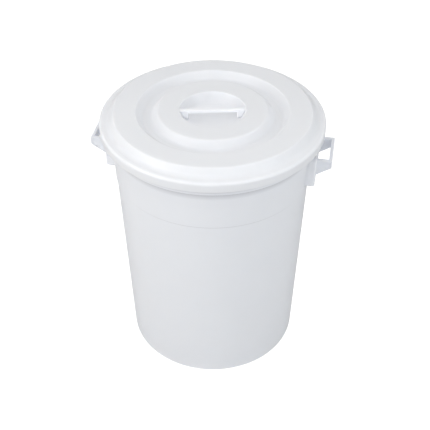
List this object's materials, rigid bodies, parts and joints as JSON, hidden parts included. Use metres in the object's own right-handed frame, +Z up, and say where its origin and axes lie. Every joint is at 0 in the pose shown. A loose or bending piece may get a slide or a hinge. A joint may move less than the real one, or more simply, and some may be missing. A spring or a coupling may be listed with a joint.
{
  "type": "plastic open head drum",
  "caption": "Round tapered plastic drum with an open top, a ringed lift-off lid with a recessed grip, and a handle loop on each side, for storing food, water or dry goods.",
  "frame": {"origin": "centre of the base, on the surface that the drum stands on", "axes": "+Z up along the drum's axis, +X towards the right handle, +Y towards the back"},
  "size_m": [0.504, 0.4648, 0.585],
  "materials": {
    "drum_plastic": "satin white polyethylene",
    "handle_plastic": "satin white polypropylene",
    "lid_plastic": "satin white polyethylene"
  },
  "bodies": {
    "drum": {"drum_body": "drum_plastic", "right_handle": "handle_plastic", "left_handle": "handle_plastic"},
    "lid": {"lid_shell": "lid_plastic", "lid_grip": "lid_plastic"}
  },
  "joints": [
    {"name": "lid_lift", "type": "slide", "parent": "drum", "child": "lid", "axis": [0, 0, 1], "range_m": [0, 0.15]}
  ]
}
